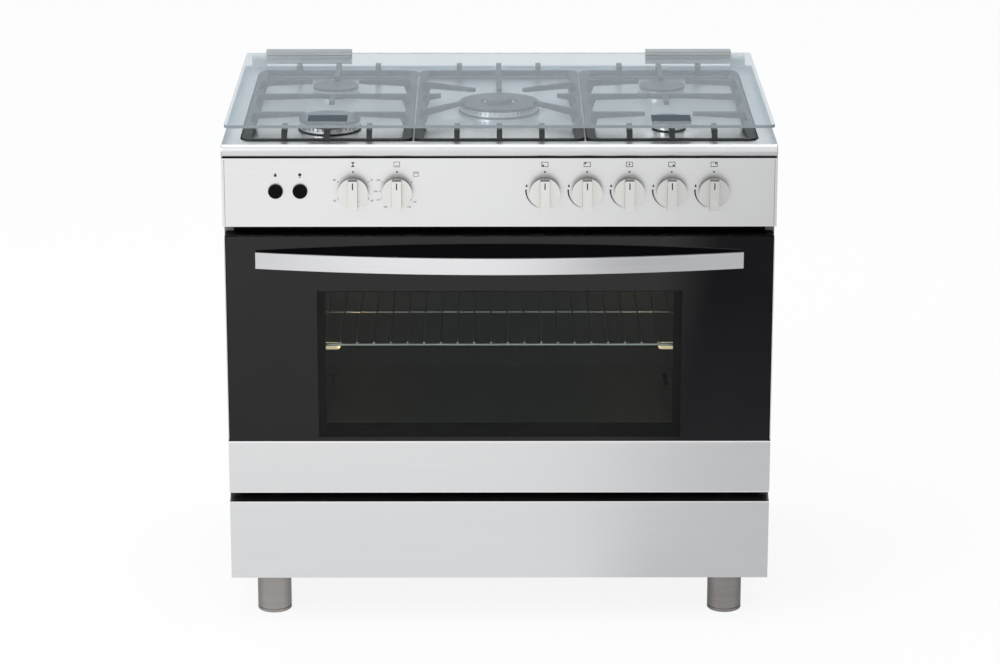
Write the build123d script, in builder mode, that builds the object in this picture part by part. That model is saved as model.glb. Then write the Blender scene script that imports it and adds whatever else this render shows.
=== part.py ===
"""Free-standing gas cooker: five burners under a glass lid, an oven and a drawer.

Millimetres. +X is the cook's right, -Y faces the cook, +Z is up.
The origin is on the floor, under the middle of the whole cooker, handle included.
"""

import math
import os

from build123d import *

os.makedirs("parts", exist_ok=True)

# Casing
body_width = 900.0
body_depth = 600.0
handle_reach = 50.0
leg_height = 73.0
drawer_ground_gap = 1.0
front_zone = 44.0
sheet = 1.0
frame_sheet = 2.0
side_lip = 15.0
back_inset = 34.0
base_rim = 30.0
screw_radius = 4.0
screw_shank = 2.0
screw_head = 2.5
screw_length = 6.0
louvre_length = 60.0
louvre_width = 5.0
louvre_pitch_x = 78.0
louvre_pitch_z = 14.0
louvre_columns = 9
louvre_rows = 3
louvre_drop = 150.0
gland_inset = 120.0
gland_rise = 190.0
gland_radius = 9.0
gland_bore = 4.0
gland_length = 14.0
gland_flange = 3.0

# Heights on the front, from the bottom up
drawer_height = 134.5
drawer_gap = 16.0
strip_height = 89.5
glass_height = 353.0
door_gap = 13.5
panel_height = 114.0
panel_gap = 2.0
hob_height = 19.0

# Clearances
fit_gap = 0.3
weld_seam = 0.2
pin_gap = 0.05
side_gap = 1.0
door_side_gap = 2.0

# Oven box
oven_width = 630.0
oven_floor_rise = 34.0
oven_roof_drop = 16.0
service_space = 80.0
burner_space = 36.0
rack_height = 166.0
ledge_width = 12.0
flue_half = 60.0
flue_depth = 40.0
flue_gap = 20.0
plate_slots = 4
plate_slot_length = 70.0
plate_slot_width = 8.0
plate_slot_pitch = 95.0
plate_slot_inset = 20.0
burner_rise = 16.0
grill_drop = 22.0
burner_half = 220.0
burner_tube = 9.0
burner_foot = 5.0
burner_foot_inset = 40.0
feed_radius = 5.0
feed_stub = 8.0
wire = 5.0
shelf_wire = 3.5
weld = 0.6
wire_seat = 0.1
upright_inset = 4.0
ladder_pitch = 60.0
ladder_inset = 36.0
ladder_tail = 12.0
shelf_inset = 24.0
shelf_bars = 22
shelf_overhang = 16.0
lamp_back = 180.0
lamp_length = 46.0
lamp_radius = 13.0
lamp_flange = 8.0
bulb_radius = 6.0
seal_margin = 3.0
seal_width = 8.0
seal_corner = 12.0

# Door
glass_sheet = 4.0
door_back_gap = 4.0
door_wall = 1.5
window_width = 597.0
window_height = 250.0
window_rise = 8.0
hinge_pin_radius = 4.0
hinge_back = 14.0
hinge_rise = 8.0
hinge_inset = 68.0
hinge_lug = 8.0
lug_radius = 6.5
lug_arm = 10.0
lug_flange = 14.0
arm_gap = 0.5
arm_sheet = 3.0
arm_height = 45.0
glass_corner = 6.0
strip_depth = 30.0
door_edge = 3.0
window_overlap = 12.0
handle_length = 794.0
handle_height = 27.0
handle_thickness = 5.0
handle_end_reach = 10.0
handle_drop_to_top = 27.4
handle_edge = 4.0
post_inset = 8.0
post_width = 16.0
post_sink = 0.5

# Drawer
drawer_box_depth = 470.0
drawer_box_wall = 1.2
drawer_box_rise = 20.0
drawer_box_drop = 8.0
drawer_box_gap = 2.0
drawer_lip_rise = 5.0
drawer_lip_depth = 18.0
runner_sheet = 3.0
runner = 10.0
rail_height = 18.0

# Control panel
knob_height = 59.5
knob_radius = 24.5
knob_depth = 22.0
knob_bar_width = 15.0
knob_bar_rise = 10.0
knob_bar_tail = 2.5
knob_bar_foot = 6.0
knob_stroke = 4.0
knob_clearance = 0.6
knob_pitch = 68.4
last_knob_inset = 103.1
timer_inset = 213.0
dial_pitch = 71.0
button_inset = 87.3
button_pitch = 39.7
button_radius = 12.0
button_stroke = 3.0
button_proud = 5.0
button_round = 1.5
button_bush = 10.0
bush_wall = 2.0
panel_sheet = 1.2
spindle_radius = 4.0
spindle_grip = 12.0
spindle_flat = 2.8
tap_radius = 13.0
tap_length = 34.0
tap_nose = 6.0
tap_nose_radius = 8.0
tap_outlet = 3.0
outlet_radius = 5.0
plug_radius = 7.0
plug_length = 24.0
timer_size = 52.0
manifold_radius = 9.0
manifold_boss = 3.0
manifold_boss_radius = 7.0
manifold_end = 24.0
pipe_radius = 3.0
pipe_bend_share = 0.3
oven_pipe_bend = 10.0

# Hob
hob_sheet = 1.2
hob_recess = 9.0
hob_side_rim = 28.0
hob_front_rim = 31.0
hob_rear_strip = 50.0
hob_nose = 12.0
nose_radius = 11.0
nose_under_radius = 4.0
hob_edge = 1.6
tray_corner = 22.0
tray_slope = 12.0
mound_height = 1.5
mound_spread = 28.0
mound_flat = 11.0
vent_length = 66.0
vent_width = 6.0
vent_pitch = 95.0
vent_count = 8
vent_inset = 20.0
front_burner_back = 152.0
rear_burner_back = 402.0
wok_back = 272.0
rapid_radius = 50.0
semi_radius = 38.0
small_radius = 26.0
wok_radius = 66.0
wok_hub_radius = 26.0
wok_hub_cap = 22.5
wok_hub_rise = 5.0
wok_ring_inner = 33.0
wok_web = 2.5
wok_hub_ports = 24
hub_share = 0.45
hub_depth = 12.0
head_height = 11.0
cap_height = 5.0
cap_lip = 1.0
cap_round = 1.8
cup_depth = 24.0
cup_wall = 4.0
port_depth = 5.0
port_width = 2.2
port_height = 5.0
port_pitch = 8.0
spark_radius = 2.6
spark_gap = 2.6
spark_tail = 12.0
spark_drop = 3.0
spark_tip = 1.0

# Pan supports
grate_gap = 3.5
grate_side_gap = 3.0
grate_margin = 2.5
grate_bar = 15.0
grate_bar_height = 9.0
grate_thin_bar = 7.0
grate_corner = 18.0
grate_feet = 3.0
grate_foot_radius = 5.0
grate_rise = 17.0
prong = 9.0
prong_reach = 38.0
prong_spread = 69.0
finger_climb = 5.0
finger_depth = 10.0
finger_tip = 6.0
finger_root = 9.0
finger_end = 40.0
spur_reach = 58.0
rear_finger_gap = 22.0
wok_front_root = 106.0
wok_front_tip = (60.0, 37.0)
wok_rear_root = 118.0
wok_rear_tip = (42.0, 62.0)
wok_side_tip = 98.0

# Lid
lid_thickness = 5.0
lid_clearance = 23.0
lid_side_inset = 3.5
lid_front_back = 25.0
lid_axis_rise = 14.0
lid_axis_inset = 12.0
lid_corner = 10.0
lid_pin_radius = 3.0
lid_pin_length = 24.0
knuckle_radius = 8.0
clamp_length = 151.0
clamp_inset = 39.0
clamp_drop = 6.5
clamp_rise = 20.5
clamp_rear = 10.0
clamp_front = 10.0
clamp_wall = 2.0
clamp_groove = 1.5
clamp_groove_rise = 4.0
hinge_block_width = 25.0
pad_width = 64.0
pad_depth = 46.0
pad_back = 58.0

# Legs and gas connection
leg_radius = 28.5
leg_side_inset = 70.0
leg_inset = 58.0
leg_rear_inset = 78.0
leg_stud_radius = 6.0
nut_radius = 11.0
nut_height = 12.0
foot_disc = 6.0
foot_bevel = 1.5
foot_groove = 1.2
inlet_inset = 59.1
inlet_radius = 10.48
inlet_length = 16.0
inlet_bore = 7.0
inlet_pipe_radius = 9.0
inlet_collar = 6.0
inlet_nut = 8.0

# Levels and planes worked out from the sizes above
front_y = (handle_reach - body_depth) / 2
back_y = front_y + body_depth
half_width = body_width / 2
drawer_bottom = leg_height + drawer_ground_gap
drawer_top = drawer_bottom + drawer_height
door_bottom = drawer_top + drawer_gap
glass_bottom = door_bottom + strip_height
door_top = glass_bottom + glass_height
panel_bottom = door_top + door_gap
panel_top = panel_bottom + panel_height
hob_bottom = panel_top + panel_gap
hob_top_z = hob_bottom + hob_height
hob_floor = hob_top_z - hob_recess
frame_y = front_y + front_zone
inner_half = half_width - sheet
back_panel_y = back_y - back_inset
knob_z = panel_bottom + knob_height
door_half = half_width - door_side_gap
door_back_y = frame_y - door_back_gap
hinge_y = front_y + hinge_back
hinge_z = door_bottom + hinge_rise
oven_half = oven_width / 2
oven_bottom = door_bottom + oven_floor_rise
oven_top = door_top - oven_roof_drop
oven_back_y = back_panel_y - service_space
plate_z = oven_bottom + burner_space
rack_z = plate_z + rack_height
grate_top = hob_top_z + grate_rise
lid_bottom = hob_top_z + lid_clearance
lid_top = lid_bottom + lid_thickness
lid_axis_y = back_y - lid_axis_inset
lid_axis_z = hob_top_z + lid_axis_rise
burner_knobs = [half_width - last_knob_inset - knob_pitch * n for n in range(4, -1, -1)]
timer_knob_x = timer_inset - half_width
oven_knob_x = timer_knob_x + dial_pitch
button_places = (button_inset - half_width, button_inset + button_pitch - half_width)
tap_places = [oven_knob_x] + burner_knobs
on_base = (Align.CENTER, Align.CENTER, Align.MIN)


def block(x, y, z, mode=Mode.ADD):
    """Box between a low and a high value on each axis."""
    with Locations(((x[0] + x[1]) / 2, (y[0] + y[1]) / 2, (z[0] + z[1]) / 2)):
        Box(x[1] - x[0], y[1] - y[0], z[1] - z[0], mode=mode)


def rod(start, end, radius, mode=Mode.ADD):
    """Round bar from one point to another along a single axis."""
    line = Vector(end) - Vector(start)
    with Locations(Plane(origin=start, z_dir=line)):
        Cylinder(radius, line.length, align=on_base, mode=mode)


def rod_x(x, y, z, radius, mode=Mode.ADD):
    """Round bar across the width, between a low and a high value."""
    rod((x[0], y, z), (x[1], y, z), radius, mode)


def rod_y(x, y, z, radius, mode=Mode.ADD):
    """Round bar along the depth, between a low and a high value."""
    rod((x, y[0], z), (x, y[1], z), radius, mode)


def both(low, high):
    """The same span on the left and on the right of the middle, low to high."""
    return ((-high, -low), (low, high))


def ring(centre, outer, inner, bottom, height, mode=Mode.ADD):
    """Flat ring standing on the given level."""
    with BuildSketch(Plane.XY.offset(bottom)) as flat:
        with Locations(centre):
            Circle(outer)
            Circle(inner, mode=Mode.SUBTRACT)
    extrude(flat.sketch, amount=height, mode=mode)


def keep(builder, name):
    """Label a finished piece and write its file."""
    builder.part.label = name
    export_step(builder.part, f"parts/{name}.step")


def profile_bar(plane, points, amount, both_ways=False):
    """Straight bar with the given outline, drawn on the plane and pulled out along its normal."""
    with BuildSketch(plane) as outline:
        with BuildLine():
            Polyline(*points, close=True)
        make_face()
    extrude(outline.sketch, amount=amount, both=both_ways)


def bent_tube(points, radius, bend):
    """Round tube along straight runs with rounded corners."""
    with BuildLine() as route:
        FilletPolyline(*points, radius=bend)
    with BuildSketch(Plane(origin=route.line @ 0, z_dir=route.line % 0)) as section:
        Circle(radius)
    sweep(section.sketch, path=route.line)


# Casing

leg_rows = (front_y + leg_inset, back_y - leg_rear_inset)
leg_places = [(side * (half_width - leg_side_inset), y) for side in (-1, 1) for y in leg_rows]
leg_names = ("front_left", "rear_left", "front_right", "rear_right")
pan_top = leg_height + frame_sheet
frame_back_y = frame_y + frame_sheet
drawer_box_bottom = drawer_bottom + drawer_box_rise
drawer_box_top = drawer_top - drawer_box_drop
drawer_box_half = half_width - side_lip - side_gap - runner
rail_top = drawer_box_top - runner_sheet - fit_gap
screw_rows = (leg_height + base_rim / 2, (leg_height + hob_bottom) / 2, hob_bottom - base_rim / 2)
screw_columns = (-inner_half + side_lip, inner_half - side_lip)
screw_places = [(x, z) for x in screw_columns for z in screw_rows]

with BuildPart() as base_frame:
    block((-inner_half, inner_half), (frame_back_y, back_panel_y), (leg_height, pan_top))
    rim_z = (leg_height, leg_height + base_rim)
    rim_y = (back_panel_y - frame_sheet, back_panel_y)
    block((-inner_half, inner_half), rim_y, rim_z)
    for x in both(inner_half - frame_sheet, inner_half):
        block(x, (frame_back_y, back_panel_y), (leg_height, rail_top))
    for x in both(drawer_box_half + side_gap, inner_half):
        block(x, (frame_back_y, back_panel_y), (rail_top - rail_height, rail_top))
    with Locations(*[(x, y, pan_top) for x, y in leg_places]):
        Cylinder(nut_radius, nut_height, align=on_base)
    with Locations(*[(x, y, leg_height) for x, y in leg_places]):
        Cylinder(leg_stud_radius + pin_gap, 2 * (frame_sheet + nut_height), mode=Mode.SUBTRACT)
    for x in screw_columns:
        rod_y(x, rim_y, screw_rows[0], screw_shank + pin_gap, Mode.SUBTRACT)
keep(base_frame, "base_frame")

side_back_y = back_y - frame_sheet
with BuildPart() as side_panels:
    wall_z = (leg_height, hob_bottom)
    for x in both(inner_half, half_width):
        block(x, (frame_y - sheet, side_back_y), wall_z)
    for x in both(half_width - side_lip, inner_half):
        block(x, (frame_y - sheet, frame_y), wall_z)
        block(x, (side_back_y - sheet, side_back_y), wall_z)
keep(side_panels, "side_panels")

tap_hole_radius = tap_nose_radius + pin_gap

with BuildPart() as front_frame:
    block((-inner_half, inner_half), (frame_y, frame_back_y), (leg_height, hob_bottom))
    through_y = (frame_y - frame_sheet, frame_back_y + frame_sheet)
    drawer_mouth = drawer_box_half + runner + side_gap
    block(
        (-drawer_mouth, drawer_mouth),
        through_y,
        (drawer_box_bottom - drawer_box_gap, drawer_box_top + drawer_box_gap),
        Mode.SUBTRACT,
    )
    block((-oven_half, oven_half), through_y, (oven_bottom, oven_top), Mode.SUBTRACT)
    for x in tap_places + [timer_knob_x]:
        rod_y(x, through_y, knob_z, tap_hole_radius, Mode.SUBTRACT)
keep(front_frame, "front_frame")

gland_x = gland_inset - half_width
gland_z = leg_height + gland_rise
panel_y = (back_panel_y, back_panel_y + sheet)
inlet_x = half_width - inlet_inset

with BuildPart() as back_panel:
    block((-inner_half, inner_half), panel_y, (leg_height, hob_bottom))
    for x in both(inner_half - sheet, inner_half):
        block(x, (back_panel_y, back_panel_y + side_lip), (leg_height, hob_bottom))
    with BuildSketch(Plane.XZ.offset(-back_panel_y)):
        with Locations((0, hob_bottom - louvre_drop)):
            with GridLocations(louvre_pitch_x, louvre_pitch_z, louvre_columns, louvre_rows):
                SlotOverall(louvre_length, louvre_width)
    extrude(amount=-sheet, mode=Mode.SUBTRACT)
    for x, z in screw_places:
        rod_y(x, panel_y, z, screw_shank + pin_gap, Mode.SUBTRACT)
    rod_y(inlet_x, panel_y, knob_z, inlet_pipe_radius + pin_gap, Mode.SUBTRACT)
    rod_y(gland_x, panel_y, gland_z, gland_radius + pin_gap, Mode.SUBTRACT)
keep(back_panel, "back_panel")

with BuildPart() as casing_screws:
    for x, z in screw_places:
        rod_y(x, (panel_y[1], panel_y[1] + screw_head), z, screw_radius)
        rod_y(x, (panel_y[1] - screw_length, panel_y[1]), z, screw_shank)
keep(casing_screws, "casing_screws")

with BuildPart() as cable_gland:
    gland_y = (back_panel_y - sheet, back_panel_y + gland_length)
    rod_y(gland_x, gland_y, gland_z, gland_radius)
    rod_y(gland_x, (panel_y[1], panel_y[1] + gland_flange), gland_z, gland_radius + gland_flange)
    rod_y(gland_x, gland_y, gland_z, gland_bore, Mode.SUBTRACT)
keep(cable_gland, "cable_gland")

for name, (x, y) in zip(leg_names, leg_places):
    with BuildPart() as leg:
        with Locations((x, y, 0)):
            Cylinder(leg_radius, leg_height, align=on_base)
            Cylinder(leg_stud_radius, leg_height + frame_sheet + nut_height, align=on_base)
        chamfer(leg.edges().group_by(Axis.Z)[0], foot_bevel)
        with Locations((x, y, foot_disc)):
            ring_cut = Cylinder(leg_radius, foot_groove, mode=Mode.PRIVATE)
            core = Cylinder(leg_radius - foot_groove, foot_groove, mode=Mode.PRIVATE)
        add(ring_cut - core, mode=Mode.SUBTRACT)
    keep(leg, f"leg_{name}")

# Oven

feed_x = oven_knob_x
oven_burner_z = oven_bottom + burner_rise
grill_z = oven_top - grill_drop
oven_middle_y = (frame_back_y + oven_back_y) / 2
feed_end_y = oven_back_y + sheet + feed_stub
flue_top = hob_bottom - flue_gap

with BuildPart() as oven_liner:
    liner_half = oven_half + sheet
    liner_y = (frame_back_y, oven_back_y + sheet)
    wall_z = (oven_bottom + weld_seam, oven_top - weld_seam)
    for z in (oven_bottom - sheet, oven_top):
        block((-liner_half, liner_half), liner_y, (z, z + sheet))
    for x in both(oven_half, liner_half):
        block(x, liner_y, wall_z)
    back_half = oven_half - weld_seam
    block((-back_half, back_half), (oven_back_y, oven_back_y + sheet), wall_z)
    for x in both(oven_half - ledge_width, oven_half - weld_seam):
        block(x, (frame_back_y, oven_back_y - weld_seam), (plate_z - sheet, plate_z))
    flue_y = (oven_back_y - flue_depth, oven_back_y)
    block((-flue_half, flue_half), flue_y, (oven_top + sheet + weld_seam, flue_top))
    flue_inside = flue_half - sheet
    block(
        (-flue_inside, flue_inside),
        (flue_y[0] + sheet, flue_y[1] - sheet),
        (oven_top, flue_top),
        Mode.SUBTRACT,
    )
    for z in (oven_burner_z, grill_z):
        rod_y(feed_x, (oven_back_y, oven_back_y + sheet), z, feed_radius + pin_gap, Mode.SUBTRACT)
keep(oven_liner, "oven_liner")

with BuildPart() as oven_floor_plate:
    plate_half = oven_half - side_gap
    plate_y = (frame_back_y + side_gap, oven_back_y - side_gap)
    block((-plate_half, plate_half), plate_y, (plate_z, plate_z + sheet))
    with BuildSketch(Plane.XY.offset(plate_z)):
        with Locations((0, oven_middle_y)):
            with GridLocations(2 * (plate_half - plate_slot_inset), plate_slot_pitch, 2, plate_slots):
                SlotOverall(plate_slot_length, plate_slot_width, rotation=90)
    extrude(amount=sheet, mode=Mode.SUBTRACT)
keep(oven_floor_plate, "oven_floor_plate")


def tube_burner(level, seat):
    """Straight burner tube across the oven, its rear feed and the two feet that reach its seat."""
    rod_x((-burner_half, burner_half), oven_middle_y, level, burner_tube)
    rod_y(feed_x, (oven_middle_y, feed_end_y), level, feed_radius)
    foot_span = sorted((seat, level))
    for x in both(burner_half - burner_foot_inset, burner_half - burner_foot_inset + burner_foot):
        block(x, (oven_middle_y - burner_foot, oven_middle_y + burner_foot), foot_span)


with BuildPart() as oven_burner:
    tube_burner(oven_burner_z, oven_bottom)
keep(oven_burner, "oven_burner")

with BuildPart() as grill_burner:
    tube_burner(grill_z, oven_top)
keep(grill_burner, "grill_burner")

upright_x = oven_half - upright_inset
rung_x = upright_x - wire + weld
rung_levels = [rack_z - wire - wire_seat + ladder_pitch * step for step in range(-2, 3)]
ladder_ends = (frame_back_y + ladder_inset, oven_back_y - ladder_inset)

with BuildPart() as rack_ladders:
    for side in (-1, 1):
        for y in ladder_ends:
            low = rung_levels[0] - ladder_tail
            high = rung_levels[-1] + ladder_tail
            rod((side * upright_x, y, low), (side * upright_x, y, high), wire / 2)
            for z in (low + ladder_tail / 2, high - ladder_tail / 2):
                rod((side * upright_x, y, z), (side * oven_half, y, z), wire / 2)
        for z in rung_levels:
            rod_y(side * rung_x, (ladder_ends[0] - ladder_tail, ladder_ends[1] + ladder_tail), z, wire / 2)
keep(rack_ladders, "rack_ladders")

shelf_front_y = frame_back_y + shelf_inset
shelf_rear_y = oven_back_y - shelf_inset
shelf_half = upright_x - wire / 2 - side_gap
with BuildPart() as wire_shelf:
    for y in (shelf_front_y, (shelf_front_y + shelf_rear_y) / 2, shelf_rear_y):
        rod_x((-shelf_half, shelf_half), y, rack_z, wire / 2)
    bar_z = rack_z + wire / 2 + shelf_wire / 2 - weld
    bar_pitch = 2 * (shelf_half - shelf_overhang) / (shelf_bars - 1)
    for number in range(shelf_bars):
        x = -shelf_half + shelf_overhang + bar_pitch * number
        rod_y(x, (shelf_front_y - wire / 2, shelf_rear_y + wire / 2), bar_z, shelf_wire / 2)
keep(wire_shelf, "wire_shelf")

lamp_z = rack_z - wire - wire_seat - ladder_pitch / 2
with BuildPart() as oven_lamps:
    for side in (-1, 1):
        place = Plane(origin=(side * oven_half, front_y + lamp_back, lamp_z), z_dir=(-side, 0, 0))
        with BuildSketch(Plane(origin=place.origin, x_dir=place.z_dir, z_dir=(0, 1, 0))) as half_outline:
            with BuildLine():
                Polyline(
                    (0, 0),
                    (0, lamp_radius),
                    (lamp_flange, lamp_radius),
                    (lamp_flange, bulb_radius),
                    (lamp_length - bulb_radius, bulb_radius),
                )
                tip = RadiusArc((lamp_length - bulb_radius, bulb_radius), (lamp_length, 0), bulb_radius)
                Line(tip @ 1, (0, 0))
            make_face()
        revolve(half_outline.sketch, axis=Axis(place.origin, place.z_dir))
keep(oven_lamps, "oven_lamps")

with BuildPart() as door_seal:
    with BuildSketch(Plane.XZ.offset(-frame_y)):
        with Locations((0, (oven_bottom + oven_top) / 2)):
            inner_w = oven_width + 2 * seal_margin
            inner_h = oven_top - oven_bottom + 2 * seal_margin
            RectangleRounded(inner_w + 2 * seal_width, inner_h + 2 * seal_width, seal_corner + seal_width)
            RectangleRounded(inner_w, inner_h, seal_corner, mode=Mode.SUBTRACT)
    extrude(amount=door_back_gap - fit_gap)
keep(door_seal, "door_seal")

# Oven door

window_half = window_width / 2
window_bottom = glass_bottom + window_rise
window_top = window_bottom + window_height
hinge_places = (-door_half + hinge_inset, door_half - hinge_inset)
slot_half = hinge_lug / 2 + side_gap
slot_front_y = hinge_y - lug_radius - side_gap
slot_top = hinge_z + lug_radius + side_gap

with BuildPart() as door_hinge_brackets:
    for x in hinge_places:
        lug_x = (x - hinge_lug / 2, x + hinge_lug / 2)
        block(lug_x, (hinge_y, frame_y), (hinge_z - lug_arm / 2, hinge_z + lug_arm / 2))
        rod_x(lug_x, hinge_y, hinge_z, lug_radius)
        flange_x = (x - lug_flange, x + lug_flange)
        block(flange_x, (frame_y - frame_sheet, frame_y), (hinge_z - lug_arm, hinge_z + lug_flange))
        rod_x(lug_x, hinge_y, hinge_z, hinge_pin_radius + pin_gap, Mode.SUBTRACT)
keep(door_hinge_brackets, "door_hinge_brackets")

with BuildPart() as door_outer_glass:
    block((-door_half, door_half), (front_y, front_y + glass_sheet), (glass_bottom, door_top))
    fillet(door_outer_glass.edges().filter_by(Axis.Y).group_by(Axis.Z)[-1], glass_corner)
keep(door_outer_glass, "door_outer_glass")

with BuildPart() as door_strip:
    strip_y = (front_y, front_y + strip_depth)
    block((-door_half, door_half), strip_y, (door_bottom, glass_bottom))
    inside = door_half - sheet
    inside_z = (door_bottom + sheet, glass_bottom)
    block((-inside, inside), (front_y + sheet, strip_y[1]), inside_z, Mode.SUBTRACT)
    for x in hinge_places:
        slot_x = (x - slot_half, x + slot_half)
        block(slot_x, (slot_front_y, strip_y[1]), (door_bottom, slot_top), Mode.SUBTRACT)
keep(door_strip, "door_strip")

with BuildPart() as door_frame:
    frame_half = door_half - sheet
    frame_z = (door_bottom + sheet, door_top - door_edge)
    block((-frame_half, frame_half), (front_y + glass_sheet, door_back_y), frame_z)
    tray_half = frame_half - door_wall
    block(
        (-tray_half, tray_half),
        (front_y + glass_sheet, door_back_y - door_wall),
        (frame_z[0] + door_wall, frame_z[1] - door_wall),
        Mode.SUBTRACT,
    )
    opening = window_half - window_overlap
    block(
        (-opening, opening),
        (door_back_y - door_wall, door_back_y),
        (window_bottom + window_overlap, window_top - window_overlap),
        Mode.SUBTRACT,
    )
    for x in hinge_places:
        slot_x = (x - slot_half, x + slot_half)
        block(slot_x, (slot_front_y, door_back_y), (frame_z[0], slot_top), Mode.SUBTRACT)
keep(door_frame, "door_frame")

with BuildPart() as door_inner_glass:
    inner_y = (door_back_y - door_wall - glass_sheet, door_back_y - door_wall)
    block((-window_half, window_half), inner_y, (window_bottom, window_top))
keep(door_inner_glass, "door_inner_glass")

with BuildPart() as door_hinge_arms:
    for x in hinge_places:
        web_y = door_back_y - door_wall
        web_half = hinge_lug / 2 + arm_gap + arm_sheet
        web_x = (x - web_half, x + web_half)
        for inner, outer in both(web_half - arm_sheet, web_half):
            cheek_z = (hinge_z - hinge_pin_radius - arm_gap, hinge_z + arm_height)
            block((x + inner, x + outer), (hinge_y - lug_radius, web_y), cheek_z)
        block(web_x, (web_y - arm_sheet, web_y), (slot_top, hinge_z + arm_height))
        rod_x(web_x, hinge_y, hinge_z, hinge_pin_radius)
keep(door_hinge_arms, "door_hinge_arms")

handle_half = handle_length / 2
handle_bottom = door_top - handle_drop_to_top - handle_height
with BuildPart() as door_handle:
    with BuildSketch(Plane.XY.offset(handle_bottom)):
        with BuildLine():
            end_y = front_y - handle_end_reach
            bow_y = front_y - handle_reach
            outer = ThreePointArc((-handle_half, end_y), (0, bow_y), (handle_half, end_y))
            inner = ThreePointArc(
                (handle_half, end_y + handle_thickness),
                (0, bow_y + handle_thickness),
                (-handle_half, end_y + handle_thickness),
            )
            Line(outer @ 1, inner @ 0)
            Line(inner @ 1, outer @ 0)
        make_face()
    extrude(amount=handle_height)
    post_z = (handle_bottom + handle_edge, handle_bottom + handle_height - handle_edge)
    for x in both(handle_half - post_inset - post_width, handle_half - post_inset):
        block(x, (front_y - handle_end_reach - post_sink, front_y), post_z)
keep(door_handle, "door_handle")

# Drawer

drawer_half = half_width - door_side_gap
drawer_back_y = frame_y - sheet - side_gap

with BuildPart() as drawer_front:
    lip_top = drawer_top + drawer_lip_rise
    outline = [
        (front_y, drawer_bottom),
        (front_y, drawer_top),
        (front_y + drawer_lip_depth, lip_top),
        (drawer_back_y, lip_top),
        (drawer_back_y, lip_top - sheet),
        (front_y + drawer_lip_depth, lip_top - sheet),
        (front_y + sheet, drawer_top - sheet),
        (front_y + sheet, drawer_bottom),
    ]
    profile_bar(Plane.YZ.offset(-drawer_half), outline, 2 * drawer_half)
    flange_y = (front_y + sheet + weld_seam, drawer_back_y)
    flange_top = drawer_bottom + sheet
    block((-drawer_half, drawer_half), flange_y, (drawer_bottom, flange_top))
    for x in both(drawer_half - sheet, drawer_half):
        block(x, flange_y, (flange_top + weld_seam, drawer_top - sheet - weld_seam))
keep(drawer_front, "drawer_front")

with BuildPart() as drawer_box:
    box_y = (front_y + sheet, front_y + sheet + drawer_box_depth)
    floor_top = drawer_box_bottom + drawer_box_wall
    block((-drawer_box_half, drawer_box_half), box_y, (drawer_box_bottom, floor_top))
    wall_z = (floor_top + weld_seam, drawer_box_top)
    for x in both(drawer_box_half - drawer_box_wall, drawer_box_half):
        block(x, box_y, wall_z)
    end_half = drawer_box_half - drawer_box_wall - weld_seam
    for y in (box_y[0], box_y[1] - drawer_box_wall):
        block((-end_half, end_half), (y, y + drawer_box_wall), wall_z)
    for x in both(drawer_box_half + weld_seam, drawer_box_half + runner):
        block(x, (frame_back_y + side_gap, box_y[1]), (drawer_box_top - runner_sheet, drawer_box_top))
keep(drawer_box, "drawer_box")

# Control panel

bush_back_y = front_y + panel_sheet + button_bush
with BuildPart() as control_panel:
    panel_back_y = frame_y - sheet
    block((-half_width, half_width), (front_y, panel_back_y), (panel_bottom, panel_top))
    inside = half_width - sheet
    block(
        (-inside, inside),
        (front_y + panel_sheet, panel_back_y),
        (panel_bottom + sheet, panel_top - sheet),
        Mode.SUBTRACT,
    )
    for x in button_places:
        rod_y(x, (front_y + panel_sheet, bush_back_y), knob_z, button_radius + bush_wall)
        rod_y(x, (front_y, bush_back_y), knob_z, button_radius + pin_gap, Mode.SUBTRACT)
    for x in tap_places + [timer_knob_x]:
        rod_y(x, (front_y, front_y + panel_sheet), knob_z, spindle_radius + side_gap, Mode.SUBTRACT)
keep(control_panel, "control_panel")

for name, x in zip(("button_ignition", "button_lamp"), button_places):
    with BuildPart() as button:
        rod_y(x, (front_y - button_proud, bush_back_y + button_stroke), knob_z, button_radius)
        fillet(button.edges().group_by(Axis.Y)[0], button_round)
    keep(button, name)

# Taps: the body stays, the plug turns with its spindle, and the knob slides on the spindle

tap_front_y = frame_back_y
tap_back_y = tap_front_y + tap_length
knob_back_y = front_y - knob_stroke - knob_clearance
spindle_front_y = knob_back_y - spindle_grip
knob_front_y = knob_back_y - knob_depth
manifold_y = tap_back_y + manifold_boss + manifold_radius
tap_top = knob_z + tap_radius + tap_outlet
tap_foot = knob_z - tap_radius - tap_outlet
outlet_y = (tap_front_y + tap_back_y) / 2
nose_y = (frame_y - tap_nose, tap_front_y)

with BuildPart() as gas_taps:
    for x in tap_places:
        rod_y(x, (tap_front_y, tap_back_y), knob_z, tap_radius)
        rod_y(x, nose_y, knob_z, tap_nose_radius)
        outlet_z = tap_foot if x == oven_knob_x else tap_top
        rod((x, outlet_y, knob_z), (x, outlet_y, outlet_z), outlet_radius)
        plug_end_y = tap_front_y + plug_length + side_gap
        rod_y(x, (tap_front_y, plug_end_y), knob_z, plug_radius + pin_gap, Mode.SUBTRACT)
        rod_y(x, nose_y, knob_z, spindle_radius + pin_gap, Mode.SUBTRACT)
keep(gas_taps, "gas_taps")

with BuildPart() as gas_manifold:
    rod_x((tap_places[0] - manifold_end, inlet_x), manifold_y, knob_z, manifold_radius)
    for x in tap_places:
        rod_y(x, (tap_back_y, manifold_y), knob_z, manifold_boss_radius)
    with Locations((inlet_x, manifold_y, knob_z)):
        Sphere(manifold_radius)
    rod_y(inlet_x, (manifold_y, back_panel_y - inlet_collar), knob_z, manifold_radius)
keep(gas_manifold, "gas_manifold")

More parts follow.
